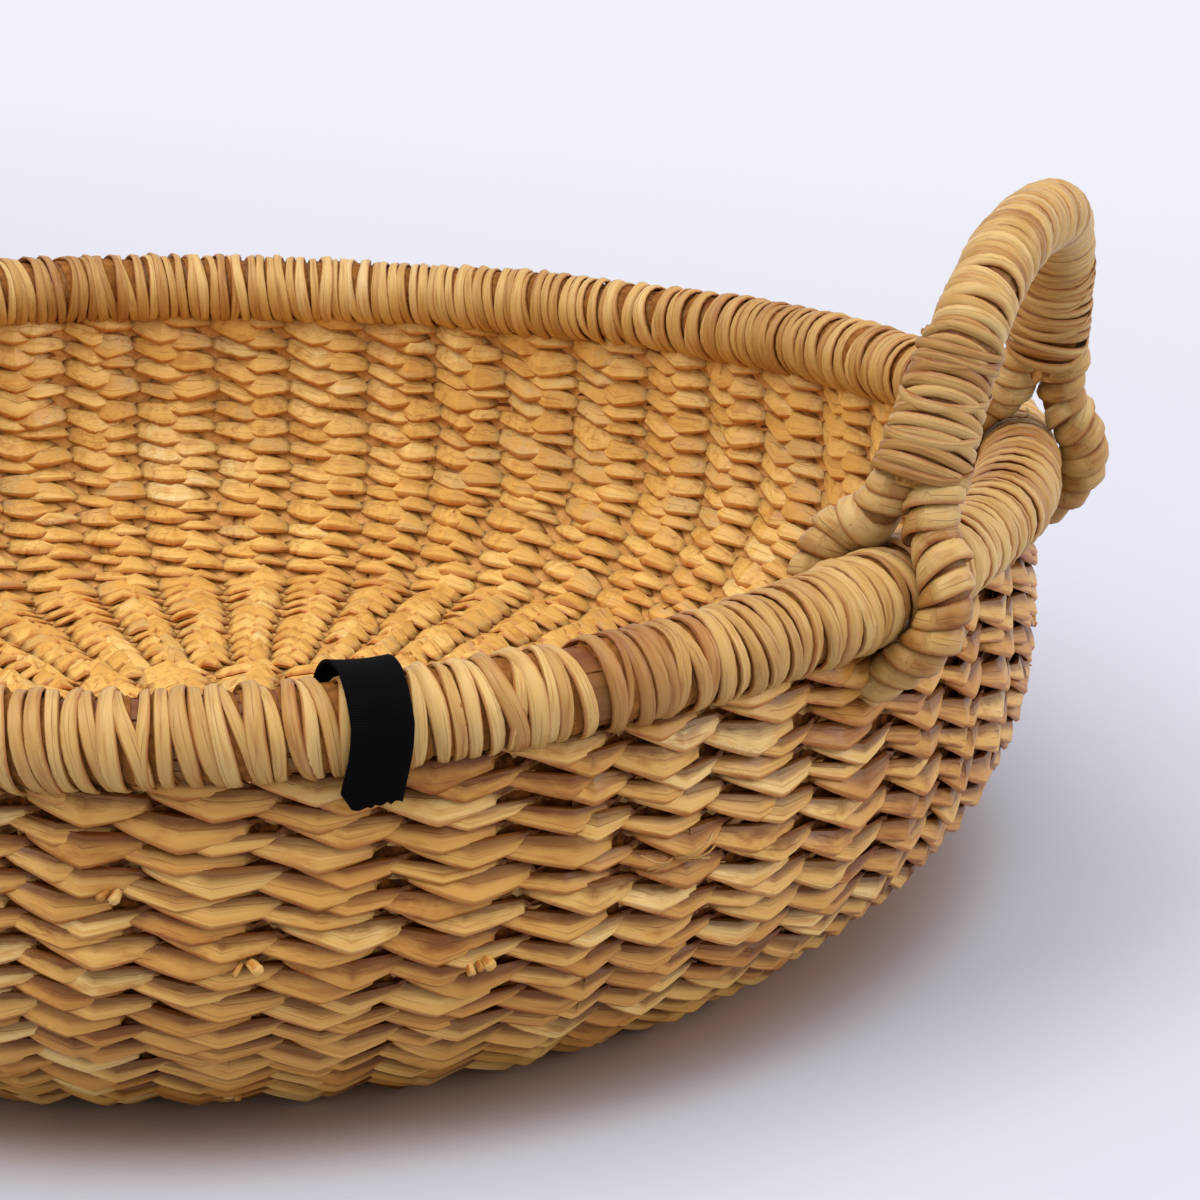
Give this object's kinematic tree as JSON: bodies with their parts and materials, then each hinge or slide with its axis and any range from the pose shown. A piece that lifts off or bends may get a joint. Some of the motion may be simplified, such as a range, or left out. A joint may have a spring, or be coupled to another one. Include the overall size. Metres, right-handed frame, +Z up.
{
  "type": "bolga basket",
  "caption": "Low round basket of twined grass with a bellied wall, a thick wrapped rim, upright wound handles that fork over the rim, and a bare black ribbon.",
  "frame": {"origin": "middle of the flat base, on the surface that the basket stands on", "axes": "+X towards the right handle, +Z up out of the mouth, and +Y to the rear, away from the ribbon"},
  "size_m": [0.457, 0.45, 0.193],
  "materials": {
    "stake_straw": "matte",
    "weaver_straw": "matte",
    "core_straw": "matte",
    "wrap_straw": "satin",
    "handle_straw": "satin",
    "binding_straw": "matte",
    "black_ribbon": "matte"
  },
  "bodies": {
    "root": {"stake_x_01": "stake_straw", "stake_x_02": "stake_straw", "stake_x_03": "stake_straw", "stake_x_04": "stake_straw", "stake_x_05": "stake_straw", "stake_x_06": "stake_straw", "stake_x_07": "stake_straw", "stake_x_08": "stake_straw", "stake_x_09": "stake_straw", "stake_x_10": "stake_straw", "stake_x_11": "stake_straw", "stake_x_12": "stake_straw", "stake_x_13": "stake_straw", "stake_y_01": "stake_straw", "stake_y_02": "stake_straw", "stake_y_03": "stake_straw", "stake_y_04": "stake_straw", "stake_y_05": "stake_straw", "stake_y_06": "stake_straw", "stake_y_07": "stake_straw", "stake_y_08": "stake_straw", "stake_y_09": "stake_straw", "stake_y_10": "stake_straw", "stake_y_11": "stake_straw", "stake_y_12": "stake_straw", "stake_y_13": "stake_straw", "base_weave_under": "weaver_straw", "base_weave_upper": "weaver_straw", "wall_weave_outer": "weaver_straw", "wall_weave_inner": "weaver_straw", "rim_core": "core_straw", "rim_wrap": "wrap_straw", "right_handle_core": "core_straw", "right_handle_winding": "handle_straw", "right_handle_rear_outer_leg": "handle_straw", "right_handle_rear_inner_leg": "handle_straw", "right_handle_rear_binding": "binding_straw", "right_handle_front_outer_leg": "handle_straw", "right_handle_front_inner_leg": "handle_straw", "right_handle_front_binding": "binding_straw", "left_handle_core": "core_straw", "left_handle_winding": "handle_straw", "left_handle_rear_outer_leg": "handle_straw", "left_handle_rear_inner_leg": "handle_straw", "left_handle_rear_binding": "binding_straw", "left_handle_front_outer_leg": "handle_straw", "left_handle_front_inner_leg": "handle_straw", "left_handle_front_binding": "binding_straw", "ribbon": "black_ribbon"}
  },
  "joints": []
}
